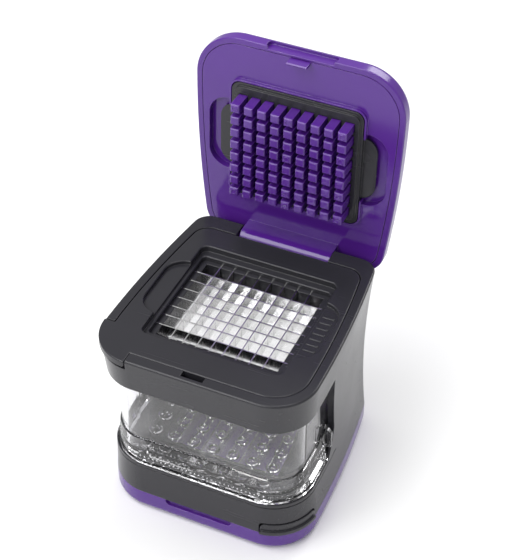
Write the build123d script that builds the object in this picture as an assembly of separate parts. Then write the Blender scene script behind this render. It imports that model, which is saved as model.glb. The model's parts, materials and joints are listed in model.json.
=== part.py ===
from build123d import *
import os

os.makedirs("parts", exist_ok=True)

# A palm-sized vegetable dicer: a square body with a hinged pusher lid, a lift-out
# blade cassette under it, a clear drawer that catches the dice, and a hinged base
# cover that holds a spare slicing cassette. The origin is at the middle of the flat
# underside, +Y points to the hinges and +Z points up. The lid stands open.

# ---- Driving dimensions, in millimetres ----
PITCH = 4.4  # cell to cell, both ways
COLUMNS = 9  # cells from side to side
ROWS = 8  # cells from front to back
BLADE_THICKNESS = 0.3
BLADE_HEIGHT = 4.4
GAP = 0.2  # between pieces that lift or slide apart
PIN_GAP = 0.05  # round a hinge pin
BLADE_GAP = 0.05  # each side of a blade in its slot
TURN_GAP = 0.25  # round a turning knuckle
END_GAP = 0.3  # beside a turning knuckle
FAR = 80  # past every piece, for cuts
PAST = 1  # how far a short cut runs past a face

# Heights
PARTING = 7.6  # top of the base cover
BAY_FLOOR = 20.6  # where the drawer stands
WINDOW_TOP = 54.5  # lower edge of the upper band
BLADE_TOP = 63.4  # cutting edges
RIM_TOP = 67.1
LID_FACE = RIM_TOP + 0.2  # rim of the closed lid

# Body plan: half width, front, back, front corner, back corner, taper of the sides
BODY_TOP = (35.2, -35.9, 37.0, 14.1, 5.7, 4.6)
BODY_WAIST = (33.4, -33.2, 35.6, 13.2, 5.3, 4.4)
BODY_FOOT = (34.5, -32.8, 37.0, 15.0, 5.7, 4.6)
FOOT_INSIDE = (32.3, -30.6, 34.8, 11.4, 3.5, 4.6)
WAIST_HEIGHT = 40.0
WALL = 2.2
RIM_EDGE = 0.6  # rounding of the top of the rim
RIM_SHEET = 2.4  # thickness of the shelf under the plate
WELL_PLAY = 0.8  # the well is this much wider than the blade holder in it
WELL_CORNER = 2.0
WELL_RIB = 1.8  # thickness of the walls round the well
HOLLOW_BACK = 28.0  # behind this the upper band is solid, for the hinge
BAY_SHEET = 1.8  # thickness of the bay's floor
BAY_CORNER = 3.0
WINDOW_BACK = -1.7  # the window wraps round the sides to here
WINDOW_BEND = 30.2  # height of that point
WINDOW_ENDS = (-7.2, -5.1)  # how far back it reaches at its bottom and its top
BAND_LINE = (1.3, 0.35, 0.4)  # groove under the drawer: drop, height, depth
BACK_WINDOW = (24.4, BAY_FLOOR + 2.0, WINDOW_TOP - 3.0)  # half width, bottom, top
BAY_OPENING = (46, 42)  # in the floor of the bay
LATCH_NOTCH = (3.6, 2.4, 1.2)  # half width, depth into the rim, drop below the blades
CHUTE_DROP = 0.3  # the funnel starts this far under the blade holder
CHUTE = (1.0, 1.2, 1.5)  # wider than the cells by, its wall, its flange

# Cassette plate, which the rim of the body surrounds
TRAY = (31.9, -31.9, 30.8, 11.2, 5.2, 4.0)
PLATE_EDGE = 0.4  # rounding of its upper edges
TAB_SIDE = -21.4  # the lift tab fills the corner in front of and outside these
TAB_FRONT = -21.4
TAB_PLAN = (0.2, 2.2)  # how far it stands out, and its thickness
SPARE_TAB = (0.1, 4.4)
TAB_LIP = (0.6, 1.6)  # bead along the spare tab: how far it stands out, height
TAB_ROUNDING = 0.4  # of the tab's thickness
TAB_ROOM_CORNER = 1.4  # of the cut in the body over the spare tab
RECESS = (46.4, 44.2)  # the scraper nests here
RECESS_CORNER = 2.4
RECESS_FLOOR = BLADE_TOP + 1.6
EAR_RECESS = (58.4, 25.8)
EAR_FLOOR = BLADE_TOP + 2.4
EAR_CORNER = 6.6
TRAY_OPENING = (43.8, 39.0)
OPENING_CORNER = 1.4
HOLDER = (51.0, 47.4)
HOLDER_CORNER = 1.6
HOLDER_HEIGHT = 5.7
BLADE_END = 2.8  # how far a blade reaches into the holder
CELL_FIELD = (COLUMNS * PITCH + 0.5, ROWS * PITCH + 0.5)
PEG = (24.2, 22.4)  # snap pegs, from the middle
PEG_RADIUS = 0.75
PEG_PLAY = 0.03
PEG_HEIGHT = 1.4
PEG_HOLE = 2.0

# Lid, sizes given with the lid closed
LID = (34.4, -35.0, 39.2, 15.0, 9.0, 4.4)
LID_THICKNESS = 5.7
LID_ROOF = 1.3
LID_EDGE = 2.6  # rounding of its outer edge
LID_RIM = 0.4  # rounding of the rim that meets the body
GRIP = (22.8, 2.4, 3.6)  # finger grip in its front edge: width, depth, height
GRIP_RISE = 1.6  # middle of the grip over the rim
GRIP_CORNER = 1.4
PANEL_INSET = 1.9
PANEL_GAP = 0.2
PANEL_THICKNESS = 1.5
POCKET_DEPTH = 2.4  # of the panel's ear pockets
POCKET_SHEET = 1.2
POCKET_WALL = 1.0
HOOK = (3.3, 3.4, 0.5)  # latch hook: half width, drop under the panel, root
HOOK_EDGE = 0.35
LID_ANGLE = 92.4  # how far the lid stands open
HINGE_Y = 35.5
HINGE_Z = BLADE_TOP - 0.8
KNUCKLE_RADIUS = 4.2
KNUCKLE_HALF = 15.6
WEB_BACK = 2.6  # the knuckle's web reaches this far behind the hinge line
HINGE_PIN_RADIUS = 1.0
HINGE_PIN_HALF = 22.5
SEAT = (16.0, 24.0, 3.6)  # the body's knuckles: from, to, radius
SCREW_PLACE = (15.0, 22.0)  # pusher screws, from the middle
SCREW = (1.0, 0.7, 0.55, 1.5)  # head radius and height, shank radius and length

# Pusher and scraper
FINGER = 2.86
FINGER_EDGE = 0.3
PUSHER_BASE = (21.6, 23.0, 1.5)  # half width, half depth, thickness
FINGER_TIP = BLADE_TOP - PITCH  # how low the fingers reach with the lid closed
SCRAPER = (43.4, 41.2)
SCRAPER_FACE = BLADE_TOP + 1.85
SCRAPER_STEP = (1.0, 0.8)  # step round its face: width, height
SCRAPER_WALL = 1.2
SCRAPER_SHEET = 1.5
SCRAPER_EAR = (52.4, 22.0)
SCRAPER_EAR_CORNER = 5.0
SCRAPER_EAR_RISE = 0.5  # over the face of the panel
COLLAR = (44.0, 41.8)
COLLAR_WALL = 0.55
COLLAR_PROUD = 1.2
COLLAR_CORNER = 3.1
COLLAR_BREAK = 0.6  # room beside the scraper's ears
PANEL_EAR = (59.8, 26.0)

# Drawer
DRAWER_TOP = WINDOW_TOP - 0.5
DRAWER_WALL = 1.6
DRAWER_FOOT = BAY_FLOOR + 0.1
DRAWER_FLOOR = 24.6  # upper face of its raised floor
FLANGE = (33.4, -32.8, 35.6, 15.0, 5.3, 4.4)
FLANGE_EDGE = 22.0  # height where its slope starts
FLANGE_TOP = 30.5
FLANGE_LEDGE = (0.6, 0.5, 0.35)  # width at its lower edge, at its top, chamfer of both
LEDGE_RISE = 0.05  # slope of the lower ledge
EAR = (-5.4, -4.2, 33.2, 30.8)  # front, back, height inside, height outside
RING = (2.2, 1.0, 6.7)  # outer and inner radius of the rings on the floor, their pitch
RING_HEIGHT = 1.2
RING_RISE = 0.7  # how far a ring stands up from the floor
RING_EDGE = 0.35
RING_SIDE = 3  # rings each side of the middle one
RING_ROWS = (-26.4, -20.0, -13.4, -6.8, -0.2, 6.4, 13.0, 19.6)

# Base cover
COVER_FLOOR = 2.0
COVER_HINGE_Y = 37.0
COVER_BARREL = 1.6
COVER_PIN_RADIUS = 0.7
COVER_PIN_HALF = 18.0
COVER_KNUCKLE = (12.7, 13.0, 19.0)  # its half width, then the body's knuckles, from and to
COVER_EDGE = 2.8  # rounding of its lower edge
COVER_SCOOP = (22.8, 2.3, 1.3)  # finger recess: width, height, depth
SCOOP_CORNER = 1.1
RAIL = (25.4, 0.8, 16.0)  # rests for the cassette: from the middle, half width, half length
ROOT = 0.1  # how far a rest is sunk in the floor
STORED_SHIFT = 1.6  # the spare cassette lies this much further back
STORED_FACE = 7.2  # its upper face, turned down, rests at this height


# ---- Shared shapes ----
def outline(half, front, back, front_radius, back_radius, taper):
    """The plan of the body: a straight front, large front corners, bowed sides."""
    right_front = (half, front + front_radius)
    right_back = (half - taper, back)
    left_back = (taper - half, back)
    left_front = (-half, front + front_radius)
    front_end = (half - front_radius, front)
    front_start = (front_radius - half, front)
    edges = Curve() + [
        Line(front_start, front_end),
        TangentArc(front_end, right_front, tangent=(1, 0)),
        TangentArc(right_front, right_back, tangent=(0, 1)),
        Line(right_back, left_back),
        TangentArc(left_front, left_back, tangent=(0, 1)),
        TangentArc(front_start, left_front, tangent=(-1, 0)),
    ]
    face = make_face(edges)
    return fillet(face.vertices().sort_by(Axis.Y)[-2:], back_radius)


def grown(plan, by):
    """The same plan, moved outwards by a distance, or inwards by a negative one."""
    half, front, back, front_radius, back_radius, taper = plan
    return (
        half + by,
        front - by,
        back + by,
        front_radius + by,
        max(back_radius + by, 1.0),
        taper,
    )


def moved_front(plan, by):
    """The same plan with its front edge moved along Y."""
    return plan[:1] + (plan[1] + by,) + plan[2:]


def slab(sketch, bottom, top):
    """A flat sketch made solid between two heights."""
    return extrude(Pos(0, 0, bottom) * sketch, top - bottom)


def block(x0, x1, y0, y1, z0, z1):
    """A box given by its limits."""
    middle = ((x0 + x1) / 2, (y0 + y1) / 2, (z0 + z1) / 2)
    return Pos(*middle) * Box(x1 - x0, y1 - y0, z1 - z0)


def rod_x(x0, x1, y, z, radius):
    """A round bar along X."""
    bar = Cylinder(radius, x1 - x0, rotation=(0, 90, 0))
    return Pos((x0 + x1) / 2, y, z) * bar


def swung_open(piece):
    """Turn a lid piece from its closed place to where it stands open."""
    return piece.rotate(Axis((0, HINGE_Y, HINGE_Z), (1, 0, 0)), -LID_ANGLE)


def stored(piece):
    """Turn a cassette piece upside down into the base compartment."""
    turned = piece.rotate(Axis.Y, 180)
    return Pos(0, STORED_SHIFT, STORED_FACE + RIM_TOP) * turned


def row_places(count):
    """Even places about the middle, one pitch apart."""
    return [(n - (count - 1) / 2) * PITCH for n in range(count)]


def corner_posts(half_x, half_y):
    """The four corners of a rectangle about the middle."""
    return [(x, y) for x in (-half_x, half_x) for y in (-half_y, half_y)]


# ---- Body ----
def housing_skin(inset):
    """The outside of the body, drawn in at the waist, or a skin inside it."""
    levels = [(PARTING, BODY_FOOT), (WAIST_HEIGHT, BODY_WAIST), (RIM_TOP, BODY_TOP)]
    return loft([Pos(0, 0, z) * outline(*grown(plan, -inset)) for z, plan in levels])


def window(gap):
    """The drawer window, seen from the side, less a gap all round."""
    bottom = BAY_FLOOR + gap
    top = WINDOW_TOP - gap
    low_back, high_back = (y - gap for y in WINDOW_ENDS)
    bend = (WINDOW_BACK - gap, WINDOW_BEND)
    middle = ((low_back + 2 * bend[0]) / 3, (bottom + bend[1]) / 2)
    edges = Curve() + [
        Line((-FAR, bottom), (low_back, bottom)),
        ThreePointArc((low_back, bottom), middle, bend),
        Line(bend, (high_back, top)),
        Line((high_back, top), (-FAR, top)),
        Line((-FAR, top), (-FAR, bottom)),
    ]
    return extrude(Plane.YZ * make_face(edges), FAR, both=True)


def housing_shell():
    """Rim, upper band, side walls and lower band, with the drawer bay between."""
    skin = fillet(housing_skin(0).edges().group_by(Axis.Z)[-1], RIM_EDGE)
    well = (HOLDER[0] + WELL_PLAY, HOLDER[1] + WELL_PLAY)
    ribbed = (well[0] + 2 * WELL_RIB, well[1] + 2 * WELL_RIB)
    ceiling = BLADE_TOP - RIM_SHEET
    inside = outline(*grown(BODY_WAIST, -WALL))

    shell = skin - slab(outline(*grown(TRAY, GAP)), BLADE_TOP, FAR)
    shell -= slab(RectangleRounded(*well, WELL_CORNER), WINDOW_TOP - PAST, FAR)
    around = slab(inside, WINDOW_TOP - PAST, ceiling)
    around -= slab(RectangleRounded(*ribbed, WELL_CORNER), 0, FAR)
    around -= block(-FAR, FAR, HOLLOW_BACK, FAR, 0, FAR)
    shell -= around

    shell -= slab(inside, BAY_FLOOR, WINDOW_TOP)
    shell -= window(0)
    drop, height, depth = BAND_LINE
    line_top = BAY_FLOOR - drop
    groove = slab(outline(*grown(BODY_FOOT, PAST)), line_top - height, line_top)
    shell -= (groove - housing_skin(depth)) & block(-FAR, FAR, -FAR, 0, 0, FAR)
    back_half, back_bottom, back_top = BACK_WINDOW
    shell -= block(-back_half, back_half, HOLLOW_BACK, FAR, back_bottom, back_top)

    shell -= slab(outline(*FOOT_INSIDE), 0, BAY_FLOOR - BAY_SHEET)
    shell -= slab(RectangleRounded(*BAY_OPENING, BAY_CORNER), 0, BAY_FLOOR + PAST)
    return shell


def housing():
    """The shell with its hinge seats, latch notch and the corners cut for the tabs."""
    shell = housing_shell()

    # finger room under the lift tab, and the spare cassette's tab at the foot
    shell -= block(-FAR, TAB_SIDE + GAP, -FAR, TAB_FRONT + GAP, BLADE_TOP, FAR)
    tab_top = STORED_FACE + SPARE_TAB[1] + 2 * GAP
    tab_back = TAB_FRONT + STORED_SHIFT + 2 * GAP
    corner = block(-TAB_SIDE - 2 * GAP, FAR, -FAR, tab_back, 0, tab_top)
    shell -= fillet(corner.faces().sort_by(Axis.Z)[-1].edges(), TAB_ROOM_CORNER)

    # latch notch in the front rim
    half, depth, drop = LATCH_NOTCH
    shell -= block(-half, half, TRAY[1] - depth, TRAY[1] + PAST, BLADE_TOP - drop, FAR)

    # seats for the lid's hinge pin, and the slot its knuckle turns in
    for side in (-1, 1):
        ends = sorted((side * SEAT[0], side * SEAT[1]))
        shell += rod_x(*ends, HINGE_Y, HINGE_Z, SEAT[2])
    slot = KNUCKLE_HALF + END_GAP
    swing = KNUCKLE_RADIUS + TURN_GAP
    shell -= block(-slot, slot, TRAY[2] + GAP, FAR, HINGE_Z, FAR)
    shell -= rod_x(-slot, slot, HINGE_Y, HINGE_Z, swing)
    shell -= block(-slot, slot, HINGE_Y, FAR, HINGE_Z - swing, FAR)
    shell -= rod_x(-HINGE_PIN_HALF, HINGE_PIN_HALF, HINGE_Y, HINGE_Z, HINGE_PIN_RADIUS)

    # barrels of the base hinge
    near, far = COVER_KNUCKLE[1:]
    shell -= rod_x(-near, near, COVER_HINGE_Y, PARTING, COVER_BARREL + TURN_GAP)
    for side in (-1, 1):
        ends = sorted((side * near, side * far))
        shell += rod_x(*ends, COVER_HINGE_Y, PARTING, COVER_BARREL)
    shell -= rod_x(-COVER_PIN_HALF, COVER_PIN_HALF, COVER_HINGE_Y, PARTING, COVER_PIN_RADIUS)
    return shell


def chute():
    """The square funnel between the blades and the drawer."""
    wider, wall, flange = CHUTE
    inner = (CELL_FIELD[0] + wider, CELL_FIELD[1] + wider)
    outer = (inner[0] + 2 * wall, inner[1] + 2 * wall)
    rim = (HOLDER[0] + WELL_PLAY, HOLDER[1] + WELL_PLAY)
    top = BLADE_TOP - HOLDER_HEIGHT - CHUTE_DROP
    frame = slab(RectangleRounded(*rim, WELL_CORNER), top - flange, top)
    frame += slab(Rectangle(*outer), WINDOW_TOP, top)
    return frame - slab(Rectangle(*inner), 0, FAR)


def lid_hinge_pin():
    """Steel pin through both seats and the lid's knuckle."""
    radius = HINGE_PIN_RADIUS - PIN_GAP
    return rod_x(-HINGE_PIN_HALF, HINGE_PIN_HALF, HINGE_Y, HINGE_Z, radius)


def base_hinge_pin():
    """Steel pin of the base cover."""
    half = COVER_PIN_HALF
    return rod_x(-half, half, COVER_HINGE_Y, PARTING, COVER_PIN_RADIUS - PIN_GAP)


# ---- Cassettes ----
def lift_tab(plan, depth):
    """The corner of a cassette that reaches out over the body, hollow under the plate."""
    corner = block(-FAR, TAB_SIDE, -FAR, TAB_FRONT, RIM_TOP - depth, FAR)
    corner = fillet(corner.faces().sort_by(Axis.Z)[0].edges(), TAB_ROUNDING * depth)
    tab = slab(outline(*plan), RIM_TOP - depth, RIM_TOP)
    tab -= slab(outline(*grown(plan, -WALL)), 0, BLADE_TOP)
    tab &= corner
    return fillet(tab.faces().sort_by(Axis.Z)[-1].edges(), PLATE_EDGE)


def main_tab():
    """The tab of the cassette in use, a thin edge over the body's corner."""
    proud, depth = TAB_PLAN
    return lift_tab(grown(BODY_TOP, proud), depth)


def spare_tab():
    """The tab of the stored cassette, flush with the body's foot, with a bead to pull."""
    proud, depth = SPARE_TAB
    plan = moved_front(grown(BODY_FOOT, proud), -STORED_SHIFT)
    out, height = TAB_LIP
    return lift_tab(plan, depth) + lift_tab(grown(plan, out), height)


def cassette_frame(tab):
    """The black plate with its recess for the scraper and its lift tab."""
    plate = slab(outline(*TRAY), BLADE_TOP, RIM_TOP)
    plate = fillet(plate.edges().group_by(Axis.Z)[-1], PLATE_EDGE) + tab

    plate -= slab(RectangleRounded(*RECESS, RECESS_CORNER), RECESS_FLOOR, FAR)
    plate -= slab(RectangleRounded(*EAR_RECESS, EAR_CORNER), EAR_FLOOR, FAR)
    recess_rim = plate.faces().sort_by(Axis.Z)[-1].inner_wires()[0]
    plate = fillet(recess_rim.edges(), PLATE_EDGE)
    plate -= slab(RectangleRounded(*TRAY_OPENING, OPENING_CORNER), 0, FAR)
    level = plate.faces().filter_by(lambda face: abs(face.center().Z - RECESS_FLOOR) < 0.01)
    opening_rim = level.sort_by(SortBy.AREA)[-1].inner_wires()[0]
    plate = fillet(opening_rim.edges(), PLATE_EDGE)
    for x, y in corner_posts(*PEG):
        plate -= Pos(x, y, BLADE_TOP + PEG_HOLE / 2) * Cylinder(PEG_RADIUS, PEG_HOLE)
    return plate


def blade_holder(long_places, cross_places, long_half, cross_half):
    """The lower frame: slots hold the blade ends and the pegs snap into the plate."""
    bottom = BLADE_TOP - HOLDER_HEIGHT
    frame = slab(RectangleRounded(*HOLDER, HOLDER_CORNER), bottom, BLADE_TOP)
    frame -= slab(Rectangle(*CELL_FIELD), 0, FAR)
    slot = BLADE_THICKNESS / 2 + BLADE_GAP
    seat = BLADE_TOP - BLADE_HEIGHT
    for x in long_places:
        frame -= block(x - slot, x + slot, -long_half, long_half, seat, FAR)
    for y in cross_places:
        frame -= block(-cross_half, cross_half, y - slot, y + slot, seat, FAR)
    for x, y in corner_posts(*PEG):
        frame += Pos(x, y, BLADE_TOP + PEG_HEIGHT / 2) * Cylinder(PEG_RADIUS - PEG_PLAY, PEG_HEIGHT)
    return frame


def long_blade(x, half_length, crossings):
    """A strip from front to back, slotted from the top at each crossing."""
    blade = block(
        x - BLADE_THICKNESS / 2,
        x + BLADE_THICKNESS / 2,
        -half_length,
        half_length,
        BLADE_TOP - BLADE_HEIGHT,
        BLADE_TOP,
    )
    slot = BLADE_THICKNESS / 2 + BLADE_GAP
    middle = BLADE_TOP - BLADE_HEIGHT / 2
    for y in crossings:
        blade -= block(x - PAST, x + PAST, y - slot, y + slot, middle, FAR)
    return blade


def cross_blade(y, half_length, crossings):
    """A strip from side to side, slotted from below at each crossing."""
    blade = block(
        -half_length,
        half_length,
        y - BLADE_THICKNESS / 2,
        y + BLADE_THICKNESS / 2,
        BLADE_TOP - BLADE_HEIGHT,
        BLADE_TOP,
    )
    slot = BLADE_THICKNESS / 2 + BLADE_GAP
    middle = BLADE_TOP - BLADE_HEIGHT / 2
    for x in crossings:
        blade -= block(x - slot, x + slot, y - PAST, y + PAST, 0, middle)
    return blade


# ---- Lid ----
def lid_shell():
    """The outer shell, hollow below, with a finger grip in its front edge."""
    top = LID_FACE + LID_THICKNESS
    shell = slab(outline(*LID), LID_FACE, top)
    shell = fillet(shell.edges().group_by(Axis.Z)[-1], LID_EDGE)
    shell = fillet(shell.edges().group_by(Axis.Z)[0], LID_RIM)
    shell -= slab(outline(*grown(LID, -PANEL_INSET)), 0, top - LID_ROOF)
    grip = Pos(0, LID[1], LID_FACE + GRIP_RISE) * Box(*GRIP)
    shell -= fillet(grip.edges().filter_by(Axis.Y), GRIP_CORNER)
    return shell


def lid_panel():
    """The inner panel: ear pockets, collar round the scraper, latch hook, knuckle."""
    plan = grown(LID, -PANEL_INSET - PANEL_GAP)
    back = LID_FACE + PANEL_THICKNESS
    pocket_floor = LID_FACE + POCKET_DEPTH
    panel = slab(outline(*plan), LID_FACE, back)
    ear_outer = (PANEL_EAR[0] + 2 * POCKET_WALL, PANEL_EAR[1] + 2 * POCKET_WALL)
    pocket = RectangleRounded(*ear_outer, EAR_CORNER + POCKET_WALL)
    panel += slab(pocket, LID_FACE, pocket_floor + POCKET_SHEET)
    panel -= slab(Rectangle(*COLLAR), pocket_floor, FAR)
    panel -= slab(RectangleRounded(*PANEL_EAR, EAR_CORNER), 0, pocket_floor)

    collar_out = (COLLAR[0] + 2 * COLLAR_WALL, COLLAR[1] + 2 * COLLAR_WALL)
    collar = RectangleRounded(*collar_out, COLLAR_CORNER + COLLAR_WALL)
    collar = slab(collar, LID_FACE - COLLAR_PROUD, back)
    ears = SCRAPER_EAR[1] / 2 + COLLAR_BREAK
    collar -= block(-FAR, FAR, -ears, ears, 0, FAR)
    panel += collar
    panel -= slab(RectangleRounded(*COLLAR, COLLAR_CORNER), 0, FAR)

    # latch hook that drops into the notch of the body's rim
    half, drop, root = HOOK
    hook = block(-half, half, plan[1], TRAY[1] - GAP, LID_FACE - drop, LID_FACE + root)
    hook = chamfer(hook.edges().filter_by(Axis.X).group_by(Axis.Z)[0], HOOK_EDGE)
    panel += hook

    # knuckle: a bar from the panel down to the hinge line
    knuckle = rod_x(-KNUCKLE_HALF, KNUCKLE_HALF, HINGE_Y, HINGE_Z, KNUCKLE_RADIUS)
    web_front = HINGE_Y - KNUCKLE_RADIUS
    web_back = HINGE_Y + WEB_BACK
    knuckle += block(-KNUCKLE_HALF, KNUCKLE_HALF, web_front, web_back, HINGE_Z, LID_FACE)
    panel += knuckle
    panel -= rod_x(-FAR, FAR, HINGE_Y, HINGE_Z, HINGE_PIN_RADIUS)
    return panel


def pusher_grid():
    """Base plate behind the panel with one square finger for every cell."""
    base_bottom = LID_FACE + PANEL_THICKNESS
    half_x, half_y, thickness = PUSHER_BASE
    base = block(-half_x, half_x, -half_y, half_y, base_bottom, base_bottom + thickness)
    finger = Box(FINGER, FINGER, base_bottom - FINGER_TIP)
    finger = chamfer(finger.faces().sort_by(Axis.Z)[0].edges(), FINGER_EDGE)
    middle = (base_bottom + FINGER_TIP) / 2
    fingers = [
        Pos(x, y, middle) * finger for x in row_places(COLUMNS) for y in row_places(ROWS)
    ]
    grid = base + fingers
    for x, y in corner_posts(*SCREW_PLACE):
        grid -= Pos(x, y, base_bottom) * Cylinder(SCREW[2] + PIN_GAP, FAR)
    return grid


def lid_screws():
    """Four short screws that hold the pusher to the back of the panel."""
    seat = LID_FACE + PANEL_THICKNESS + PUSHER_BASE[2]
    head_radius, head_height, radius, length = SCREW
    screws = []
    for x, y in corner_posts(*SCREW_PLACE):
        head = Pos(x, y, seat + head_height / 2) * Cylinder(head_radius, head_height)
        shank = Pos(x, y, seat - length / 2) * Cylinder(radius, length)
        screws.append(head + shank)
    return Compound(children=screws)


def cleaning_plate():
    """The scraper: a comb plate that slides along the fingers, with two ears."""
    back = LID_FACE + PANEL_THICKNESS - GAP
    width, height = SCRAPER_STEP
    plate = slab(RectangleRounded(*SCRAPER, COLLAR_CORNER - GAP), SCRAPER_FACE + height, back)
    upper = (SCRAPER[0] - 2 * width, SCRAPER[1] - 2 * width)
    plate += slab(RectangleRounded(*upper, COLLAR_CORNER - 4 * GAP), SCRAPER_FACE, back)
    ears = RectangleRounded(*SCRAPER_EAR, SCRAPER_EAR_CORNER)
    plate += slab(ears, LID_FACE + SCRAPER_EAR_RISE, back)
    inside = (SCRAPER[0] - 2 * SCRAPER_WALL, SCRAPER[1] - 2 * SCRAPER_WALL)
    plate -= slab(Rectangle(*inside), SCRAPER_FACE + SCRAPER_SHEET, FAR)
    hole = Box(FINGER + 2 * GAP, FINGER + 2 * GAP, FAR)
    holes = [
        Pos(x, y, SCRAPER_FACE) * hole for x in row_places(COLUMNS) for y in row_places(ROWS)
    ]
    return plate - holes


# ---- Drawer ----
def drawer_flange():
    """The skirt round the foot of the drawer, with an upright ear at each back end."""
    wall = grown(BODY_WAIST, -WALL - GAP)
    low_ledge, high_ledge, edge = FLANGE_LEDGE
    levels = [
        (DRAWER_FOOT, FLANGE),
        (FLANGE_EDGE - edge, FLANGE),
        (FLANGE_EDGE, grown(FLANGE, -edge)),
        (FLANGE_EDGE + LEDGE_RISE, grown(FLANGE, -low_ledge)),
        (FLANGE_TOP - edge, grown(wall, high_ledge)),
        (FLANGE_TOP, grown(wall, high_ledge - edge)),
    ]
    skirt = loft([Pos(0, 0, z) * outline(*plan) for z, plan in levels], ruled=True)
    front, back, inner_top, outer_top = EAR
    skirt -= block(-FAR, FAR, back, FAR, 0, FAR)
    profile = Polyline(
        (wall[0] - PAST, DRAWER_FLOOR),
        (FLANGE[0], DRAWER_FLOOR),
        (FLANGE[0], outer_top),
        (wall[0], inner_top),
        (wall[0] - PAST, inner_top),
        close=True,
    )
    ear = extrude(Plane.XZ.offset(-back) * make_face(profile), back - front)
    skirt += [ear, mirror(ear, Plane.YZ)]
    return skirt & window(GAP)


def drawer():
    """Clear container with a skirt round its foot and rings on its raised floor."""
    wall = grown(BODY_WAIST, -WALL - GAP)
    hollow = grown(wall, -DRAWER_WALL)
    body = slab(outline(*wall), DRAWER_FOOT, DRAWER_TOP) + drawer_flange()
    body -= slab(outline(*hollow), DRAWER_FLOOR, FAR)
    body -= slab(outline(*hollow), 0, DRAWER_FLOOR - DRAWER_WALL)
    outer, inner, pitch = RING
    ring = Cylinder(outer, RING_HEIGHT) - Cylinder(inner, RING_HEIGHT)
    ring = chamfer(ring.edges().group_by(Axis.Z)[-1], RING_EDGE)
    ring_middle = DRAWER_FLOOR + RING_RISE - RING_HEIGHT / 2
    middle = slab(outline(*grown(hollow, -outer)), 0, FAR)
    rings = []
    for y in RING_ROWS:
        for n in range(-RING_SIDE, RING_SIDE + 1):
            if middle.is_inside((n * pitch, y, 1)):
                rings.append(Pos(n * pitch, y, ring_middle) * ring)
    return body + rings


# ---- Base cover ----
def base_cover():
    """Dished cover hinged at the back, with rests for the spare cassette."""
    shell = slab(outline(*BODY_FOOT), 0, PARTING)
    shell = fillet(shell.edges().group_by(Axis.Z)[0], COVER_EDGE)
    shell -= slab(outline(*FOOT_INSIDE), COVER_FLOOR, FAR)
    place, half, length = RAIL
    for x in (-place, place):
        shell += block(x - half, x + half, -length, length, COVER_FLOOR - ROOT, STORED_FACE)
    tab_edge = -TAB_SIDE - 2 * GAP
    tab_front = TAB_FRONT + STORED_SHIFT + 2 * GAP
    shell -= block(tab_edge, FAR, -FAR, tab_front, STORED_FACE - GAP, FAR)
    width, height, depth = COVER_SCOOP
    scoop = Pos(0, BODY_FOOT[1], PARTING) * Box(width, 2 * depth, 2 * height)
    shell -= chamfer(scoop.edges().filter_by(Axis.Y), SCOOP_CORNER)
    near = COVER_KNUCKLE[0]
    far = COVER_KNUCKLE[2] + END_GAP
    for side in (-1, 1):
        ends = sorted((side * near, side * far))
        shell -= rod_x(*ends, COVER_HINGE_Y, PARTING, COVER_BARREL + TURN_GAP)
    shell += rod_x(-near, near, COVER_HINGE_Y, PARTING, COVER_BARREL)
    shell -= rod_x(-FAR, FAR, COVER_HINGE_Y, PARTING, COVER_PIN_RADIUS)
    return shell


# ---- Write every piece ----
def save(name, piece):
    """Write one piece to its own file."""
    export_step(piece, f"parts/{name}.step")


def main():
    long_places = row_places(COLUMNS - 1)
    cross_places = row_places(ROWS - 1)
    long_half = CELL_FIELD[1] / 2 + BLADE_END
    cross_half = CELL_FIELD[0] / 2 + BLADE_END

    save("housing", housing())
    save("chute", chute())
    save("lid_hinge_pin", lid_hinge_pin())
    save("base_hinge_pin", base_hinge_pin())

    save("dicer_frame", cassette_frame(main_tab()))
    save(
        "dicer_blade_holder",
        blade_holder(long_places, cross_places, long_half, cross_half),
    )
    for n, x in enumerate(long_places, 1):
        save(f"dicer_long_blade_{n}", long_blade(x, long_half, cross_places))
    for n, y in enumerate(cross_places, 1):
        save(f"dicer_cross_blade_{n}", cross_blade(y, cross_half, long_places))

    save("slicer_frame", stored(cassette_frame(spare_tab())))
    save("slicer_blade_holder", stored(blade_holder(long_places, [], long_half, 0)))
    for n, x in enumerate(long_places, 1):
        save(f"slicer_blade_{n}", stored(long_blade(x, long_half, [])))

    save("lid_shell", swung_open(lid_shell()))
    save("lid_panel", swung_open(lid_panel()))
    save("pusher_grid", swung_open(pusher_grid()))
    save("lid_screws", swung_open(lid_screws()))
    save("cleaning_plate", swung_open(cleaning_plate()))

    save("drawer", drawer())
    save("base_cover", base_cover())


main()
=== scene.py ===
import json
import math

import bmesh
import bpy
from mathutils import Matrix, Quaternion, Vector


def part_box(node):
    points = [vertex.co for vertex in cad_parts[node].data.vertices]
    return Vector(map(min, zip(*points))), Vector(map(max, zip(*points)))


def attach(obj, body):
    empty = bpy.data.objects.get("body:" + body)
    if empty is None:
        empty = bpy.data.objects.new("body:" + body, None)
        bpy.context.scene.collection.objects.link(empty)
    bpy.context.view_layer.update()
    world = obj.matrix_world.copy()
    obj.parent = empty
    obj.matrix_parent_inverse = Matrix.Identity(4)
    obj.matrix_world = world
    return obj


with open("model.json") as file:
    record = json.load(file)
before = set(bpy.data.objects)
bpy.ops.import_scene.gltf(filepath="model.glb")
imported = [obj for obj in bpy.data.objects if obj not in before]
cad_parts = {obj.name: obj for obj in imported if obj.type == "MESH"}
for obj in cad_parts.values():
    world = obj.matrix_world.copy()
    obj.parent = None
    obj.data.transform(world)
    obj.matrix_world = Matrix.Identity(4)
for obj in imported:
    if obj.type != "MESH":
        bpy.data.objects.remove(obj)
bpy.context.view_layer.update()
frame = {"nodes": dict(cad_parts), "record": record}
nodes = frame["nodes"]

# The look of a palm-sized vegetable dicer, in metres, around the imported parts.
MM = 0.001

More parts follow.
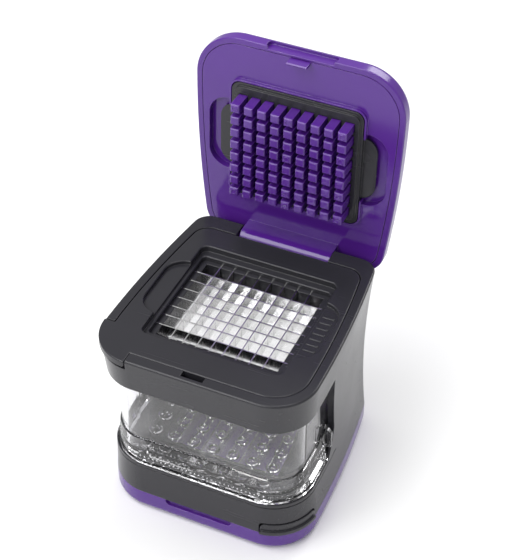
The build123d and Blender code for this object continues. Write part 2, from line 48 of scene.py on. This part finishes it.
# ---- Camera ----
AZIMUTH = math.radians(23.95)
ELEVATION = math.radians(41.15)
ROLL = math.radians(0.39)
DISTANCE = 0.4721
TARGET = Vector((0.0097, -0.0052, 0.0858))
LENS = 103.5


def make_camera():
    """A long lens, above and to the right of the front."""
    level = math.cos(ELEVATION)
    back = Vector((math.sin(AZIMUTH) * level, -math.cos(AZIMUTH) * level, math.sin(ELEVATION)))
    camera = bpy.data.objects.new("camera", bpy.data.cameras.new("camera"))
    camera.data.lens = LENS
    camera.location = TARGET + back * DISTANCE
    camera.rotation_mode = "QUATERNION"
    camera.rotation_quaternion = Quaternion(back, ROLL) @ (-back).to_track_quat("-Z", "Y")
    bpy.context.scene.collection.objects.link(camera)
    bpy.context.scene.camera = camera


# ---- Light ----
MIDDLE = Vector((0, 0, 0.06))
FLOOR_BEHIND = Vector((0.02, 0.16, 0.0))
WHITE = (1, 1, 1, 1)
ROOM_STRENGTH = 0.56
# name, place, the point it faces, width and height, watts
SOFTBOXES = (
    ("softbox_main", (-0.34, -0.20, 0.78), MIDDLE, (0.50, 0.50), 4.1),
    ("softbox_front", (-0.14, -0.54, 0.50), MIDDLE, (0.46, 0.10), 1.8),
    ("softbox_top", (0.04, 0.16, 0.80), MIDDLE, (0.40, 0.12), 1.1),
    ("softbox_back", (0.10, 0.60, 0.55), FLOOR_BEHIND, (0.40, 0.30), 2.3),
)


def make_light():
    """A pale room, and softboxes above on the left, in front and behind."""
    world = bpy.data.worlds.new("studio")
    world.use_nodes = True
    background = world.node_tree.nodes["Background"]
    background.inputs["Color"].default_value = WHITE
    background.inputs["Strength"].default_value = ROOM_STRENGTH
    bpy.context.scene.world = world
    for settings in SOFTBOXES:
        softbox(*settings)


def softbox(name, place, target, size, power):
    """A rectangular light that faces a point."""
    data = bpy.data.lights.new(name, "AREA")
    data.shape = "RECTANGLE"
    data.size, data.size_y = size
    data.energy = power
    light = bpy.data.objects.new(name, data)
    light.location = place
    light.rotation_mode = "QUATERNION"
    light.rotation_quaternion = (target - Vector(place)).to_track_quat("-Z", "Y")
    bpy.context.scene.collection.objects.link(light)


# ---- Materials ----
BEVEL_SAMPLES = 6
EDGE_DOT = (0.995, 0.8)  # how far the rounded normal turns, from no edge to a full one
MIDDLE_BAND = (0.3, 0.7)  # where most values of a noise lie
GRAIN_DEPTH = 0.02 * MM


class Nodes:
    """Builds one material's nodes. A value that is a socket is linked, any other is set."""

    def __init__(self, name):
        self.material = bpy.data.materials.new(name)
        self.material.use_nodes = True
        self.tree = self.material.node_tree
        self.shader = self.tree.nodes["Principled BSDF"]
        self.place = self.add("ShaderNodeTexCoord").outputs["Object"]

    def add(self, kind, inputs=None, **settings):
        node = self.tree.nodes.new(kind)
        for key, value in settings.items():
            setattr(node, key, value)
        self.fill(node, inputs or {})
        return node

    def fill(self, node, inputs):
        for key, value in inputs.items():
            if isinstance(value, bpy.types.NodeSocket):
                self.tree.links.new(value, node.inputs[key])
            else:
                node.inputs[key].default_value = value

    def math(self, operation, a, b=0.0, c=0.0):
        node = self.add("ShaderNodeMath", {0: a, 1: b, 2: c}, operation=operation)
        return node.outputs[0]

    def noise(self, scale, detail=2.0, stretch=None):
        """Noise of about 1/scale metres, drawn out along an axis if stretch is given."""
        place = self.place
        if stretch:
            mapping = self.add("ShaderNodeMapping", {"Vector": place, "Scale": stretch})
            place = mapping.outputs[0]
        inputs = {"Vector": place, "Scale": scale, "Detail": detail}
        return self.add("ShaderNodeTexNoise", inputs).outputs["Fac"]

    def band(self, value, low, high, to_low, to_high):
        """Carries low..high over to to_low..to_high, and holds the ends."""
        inputs = {0: value, 1: low, 2: high, 3: to_low, 4: to_high}
        return self.add("ShaderNodeMapRange", inputs).outputs[0]

    def mix(self, share, a, b):
        node = self.add("ShaderNodeMix", data_type="RGBA")
        self.fill(node, {0: share, 6: a, 7: b})
        return node.outputs[2]

    def rounded(self, radius):
        """Normals that round every edge, and how near an edge a point is."""
        bevel = self.add("ShaderNodeBevel", {"Radius": radius}, samples=BEVEL_SAMPLES).outputs[0]
        true = self.add("ShaderNodeNewGeometry").outputs["True Normal"]
        dot = self.add("ShaderNodeVectorMath", {0: bevel, 1: true}, operation="DOT_PRODUCT")
        return bevel, self.band(dot.outputs["Value"], *EDGE_DOT, 0.0, 1.0)

    def bump(self, normal, height, strength, distance):
        inputs = {"Height": height, "Strength": strength, "Distance": distance}
        node = self.add("ShaderNodeBump", inputs)
        if normal is not None:
            self.fill(node, {"Normal": normal})
        return node.outputs[0]

    def finish(self, **inputs):
        self.fill(self.shader, {key.replace("_", " "): value for key, value in inputs.items()})
        return self.material


def shaded(colour, by):
    """A colour made darker or lighter, its alpha kept."""
    return [min(channel * by, 1) for channel in colour[:3]] + [colour[3]]


def plastic(name, colour, worn_and_lit, roughness, grain, edge=0.25 * MM, worn_and_lit_share=0.25, ior=1.52):
    """Moulded plastic: fine grain, cloudy gloss, hairline scratches, and edges painted lighter,
    partly as wear and partly as a painted highlight.
    """
    n = Nodes(name)
    normal, near_edge = n.rounded(edge)

    cloud = n.noise(38.0, 3.0)
    hairlines = n.noise(26.0, 4.0, (1.0, 34.0, 20.0))
    scratch = n.band(hairlines, 0.63, 0.72, 0.0, 1.0)
    rub = n.band(n.noise(120.0, 4.0), 0.45, 0.75, 0.0, 1.0)
    # Lighter colour along the edges: partly rubbed wear, partly a painted highlight for the light
    # the edges catch.
    wear_and_highlight = n.math("MULTIPLY", near_edge, n.band(rub, 0.0, 1.0, worn_and_lit_share, 0.9))

    tone = n.mix(cloud, shaded(colour, 0.86), shaded(colour, 1.14))
    base = n.mix(wear_and_highlight, tone, worn_and_lit)
    rough = n.band(cloud, *MIDDLE_BAND, roughness * 0.85, roughness * 1.18)
    rough = n.math("MULTIPLY_ADD", scratch, 0.05, rough)

    fine = n.noise(3200.0, 2.0)
    ripple = n.noise(55.0, 1.0)
    normal = n.bump(normal, fine, grain, GRAIN_DEPTH)
    normal = n.bump(normal, ripple, 0.10, 0.12 * MM)
    normal = n.bump(normal, scratch, 0.03, GRAIN_DEPTH)
    return n.finish(Base_Color=base, Roughness=rough, Normal=normal, IOR=ior)


def steel(name, lines):
    """Polished strip: fine grinding lines across it, an uneven sheen and dull edges."""
    n = Nodes(name)
    normal, near_edge = n.rounded(0.05 * MM)
    ground = n.noise(400.0, 4.0, lines)
    cloud = n.noise(90.0, 2.0)
    tone = n.mix(cloud, STEEL_DULL, STEEL_BRIGHT)
    base = n.mix(near_edge, tone, STEEL_EDGE)
    rough = n.band(ground, *MIDDLE_BAND, 0.10, 0.20)
    rough = n.math("MULTIPLY_ADD", near_edge, 0.30, rough)
    normal = n.bump(normal, ground, 0.25, GRAIN_DEPTH)
    return n.finish(Base_Color=base, Roughness=rough, Normal=normal, Metallic=1.0)


def clear(name):
    """Clear styrene: hard gloss, faint flow waves and fine scratches."""
    n = Nodes(name)
    flow = n.noise(42.0, 1.0, (1.0, 1.0, 0.35))
    hairlines = n.noise(30.0, 3.0, (1.0, 30.0, 22.0))
    scratch = n.band(hairlines, 0.64, 0.72, 0.0, 1.0)
    tone = n.mix(flow, CLEAR_THICK, CLEAR_THIN)
    rough = n.math("MULTIPLY_ADD", scratch, 0.10, 0.015)
    normal = n.bump(None, flow, 0.10, 0.25 * MM)
    normal = n.bump(normal, scratch, 0.08, 0.01 * MM)
    return n.finish(
        Base_Color=tone, Roughness=rough, Normal=normal, IOR=1.55, Transmission_Weight=1.0
    )


PURPLE = (0.074, 0.014, 0.222, 1)
# The lighter edge colours: partly wear, partly painted highlight on the edges.
PURPLE_WORN_AND_LIT = (0.24, 0.12, 0.46, 1)
BLACK = (0.0225, 0.0220, 0.0270, 1)
BLACK_WORN_AND_LIT = (0.065, 0.065, 0.070, 1)
STEEL_DULL = (0.70, 0.70, 0.69, 1)
STEEL_BRIGHT = (0.90, 0.90, 0.90, 1)
STEEL_EDGE = (0.34, 0.34, 0.34, 1)
CLEAR_THICK = (0.965, 0.962, 0.985, 1)
CLEAR_THIN = (0.985, 0.983, 0.998, 1)

materials = {
    "purple_gloss": plastic("purple_gloss", PURPLE, PURPLE_WORN_AND_LIT, 0.19, 0.06, 0.30 * MM, 0.6),
    "purple_satin": plastic("purple_satin", PURPLE, PURPLE_WORN_AND_LIT, 0.12, 0.03),
    "black_satin": plastic("black_satin", BLACK, BLACK_WORN_AND_LIT, 0.24, 0.18, 0.40 * MM, 0.35, 1.42),
    "blade_steel": steel("blade_steel", (1.0, 1.0, 0.05)),
    "pin_steel": steel("pin_steel", (0.05, 1.0, 1.0)),
    "clear_plastic": clear("clear_plastic"),
}


def dress_nodes():
    """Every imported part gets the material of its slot."""
    for part in frame["record"]["subparts"]:
        shown = nodes[part["node"]]
        shown.data.materials.clear()
        shown.data.materials.append(materials[part["material_slot"]])


# ---- Floor ----
FLOOR_HALF = 6.0
FLOOR_TONES = ((0.86, 0.86, 0.865, 1), (0.90, 0.90, 0.90, 1))


def make_floor():
    """A plain pale sheet that the dicer stands on."""
    mesh = bpy.data.meshes.new("floor")
    grid = bmesh.new()
    bmesh.ops.create_grid(grid, x_segments=1, y_segments=1, size=FLOOR_HALF)
    grid.to_mesh(mesh)
    grid.free()
    n = Nodes("floor")
    cloud = n.noise(6.0, 2.0)
    tone = n.mix(cloud, *FLOOR_TONES)
    mesh.materials.append(n.finish(Base_Color=tone, Roughness=0.55))
    floor = bpy.data.objects.new("floor", mesh)
    bpy.context.scene.collection.objects.link(floor)


# ---- Small moulded detail ----
record = frame["record"]
joints = {joint["name"]: joint for joint in record["behaviour"]["joints"]}
BLADE_TOP = Vector(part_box("dicer_long_blade_1")[1]).z
PITCH = 4.4 * MM
COLUMNS = 9
ROWS = 8
# Column and row of the fingers with a ring on the tip
MARKED_FINGERS = ((1, 1), (1, 8), (5, 1), (5, 4), (5, 7), (5, 8), (9, 1), (9, 3), (9, 6), (9, 8))
MARK_RADIUS = 0.82 * MM
MARK_TUBE = 0.17 * MM
MARK_STEPS = (28, 8)  # round the ring, round its tube


def swung_open(point):
    """Where a point of the closed lid is now that the lid stands open, and the turn."""
    hinge = joints["lid_hinge"]
    pivot = Vector(hinge["pos_m"])
    turn = Quaternion((1, 0, 0), -math.radians(hinge["range_deg"][1]))
    return pivot + turn @ (Vector(point) - pivot), turn


def add_piece(name, mesh_maker, body, slot):
    """Make one mesh piece, give it its material and let it ride on a body."""
    mesh = bpy.data.meshes.new(name)
    mesh_maker(mesh)
    mesh.materials.append(materials[slot])
    for polygon in mesh.polygons:
        polygon.use_smooth = True
    piece = bpy.data.objects.new(name, mesh)
    bpy.context.scene.collection.objects.link(piece)
    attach(piece, body)


def torus_points(major, minor, around, across):
    """The points of a ring about Z, and its faces."""
    points = []
    for i in range(around):
        turn = 2 * math.pi * i / around
        for k in range(across):
            tilt = 2 * math.pi * k / across
            reach = major + minor * math.cos(tilt)
            points.append((reach * math.cos(turn), reach * math.sin(turn), minor * math.sin(tilt)))
    faces = []
    for i in range(around):
        for k in range(across):
            a = i * across + k
            b = i * across + (k + 1) % across
            c = ((i + 1) % around) * across
            faces.append((a, c + k, c + (k + 1) % across, b))
    return points, faces


def ejector_marks(mesh):
    """Raised rings that the mould's pins leave on some of the finger tips."""
    ring, ring_faces = torus_points(MARK_RADIUS, MARK_TUBE, *MARK_STEPS)
    points = []
    faces = []
    for column, row in MARKED_FINGERS:
        x = (column - 1 - (COLUMNS - 1) / 2) * PITCH
        y = (row - 1 - (ROWS - 1) / 2) * PITCH
        place, turn = swung_open((x, y, BLADE_TOP - PITCH))
        start = len(points)
        points += [place + turn @ Vector(point) for point in ring]
        faces += [tuple(start + n for n in face) for face in ring_faces]
    mesh.from_pydata(points, [], faces)


# The skirt of the drawer leans in as it rises: height, half width, front, corner radius
SKIRT_LOW = (0.0220, 0.0328, -0.0322, 0.0144)
SKIRT_HIGH = (0.0302, 0.0315, -0.0313, 0.0113)
SKIRT_LEAN = 0.24  # how far its normals tip upwards
STUD_ROWS = (0.18, 0.42, 0.66)  # share of the way up the skirt
STUD_STEP = 1.45 * MM
STUD_RADIUS = 0.36 * MM
STUD_HEIGHT = 0.40  # of its radius
STUD_BACK = -7.5 * MM  # the rows end here


def skirt_walk(share, step, shift):
    """Points and outward normals along the skirt, from the left ear round to the right one."""
    height, half, front, radius = (a + (b - a) * share for a, b in zip(SKIRT_LOW, SKIRT_HIGH))
    side = STUD_BACK - (front + radius)
    arc = radius * math.pi / 2
    straight = 2 * (half - radius)
    total = 2 * side + 2 * arc + straight
    run = step * shift
    while run < total:
        along = min(run, total - run)
        mirror = -1 if run < total / 2 else 1
        if along < side:
            x, y, turn = half, STUD_BACK - along, 0.0
        elif along < side + arc:
            turn = (along - side) / radius
            x = half - radius + radius * math.cos(turn)
            y = front + radius - radius * math.sin(turn)
        else:
            turn = math.pi / 2
            x, y = half - radius - (along - side - arc), front
        normal = Vector((mirror * math.cos(turn), -math.sin(turn), SKIRT_LEAN)).normalized()
        yield Vector((mirror * x, y, height)), normal
        run += step


def drawer_studs(mesh):
    """Rows of low round grip studs on the skirt of the drawer."""
    pin = bmesh.new()
    bmesh.ops.create_icosphere(pin, subdivisions=2, radius=STUD_RADIUS)
    points = []
    faces = []
    for number, share in enumerate(STUD_ROWS):
        for place, normal in skirt_walk(share, STUD_STEP, 0.5 + 0.5 * (number % 2)):
            start = len(points)
            points += [
                place + vertex.co - normal * vertex.co.dot(normal) * (1 - STUD_HEIGHT)
                for vertex in pin.verts
            ]
            faces += [tuple(start + vertex.index for vertex in face.verts) for face in pin.faces]
    pin.free()
    mesh.from_pydata(points, [], faces)


RIB_COUNT = 7
RIB_ENDS = (23.9 * MM, 27.9 * MM)
RIB_STEP = 2.6 * MM
RIB_WIDTH = 1.1 * MM
RIB_HEIGHT = 0.5 * MM  # half of it is sunk in the floor
RIB_EDGE = 0.22 * MM
RECESS_DEPTH = 1.3 * MM  # of the ear recess, under the rim of the cassette


def recess_ribs(mesh):
    """Plain raised ribs on the floor of the right ear recess of the cassette."""
    floor = Vector(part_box("dicer_frame")[1]).z - RECESS_DEPTH
    left, right = RIB_ENDS
    size = (right - left, RIB_WIDTH, RIB_HEIGHT)
    ribs = bmesh.new()
    for number in range(RIB_COUNT):
        y = (number - (RIB_COUNT - 1) / 2) * RIB_STEP
        middle = Vector(((left + right) / 2, y, floor))
        for vertex in bmesh.ops.create_cube(ribs, size=1.0)["verts"]:
            vertex.co = middle + Vector(a * b for a, b in zip(vertex.co, size))
    bmesh.ops.bevel(
        ribs, geom=ribs.edges[:], offset=RIB_EDGE, segments=3, affect="EDGES", profile=0.5
    )
    ribs.to_mesh(mesh)
    ribs.free()


make_camera()
make_light()
make_floor()
dress_nodes()
add_piece("recess_ribs", recess_ribs, "dicer_cassette", "black_satin")
add_piece("drawer_studs", drawer_studs, "drawer", "clear_plastic")
add_piece("ejector_marks", ejector_marks, "lid", "purple_gloss")
bpy.context.scene.view_settings.view_transform = "Standard"
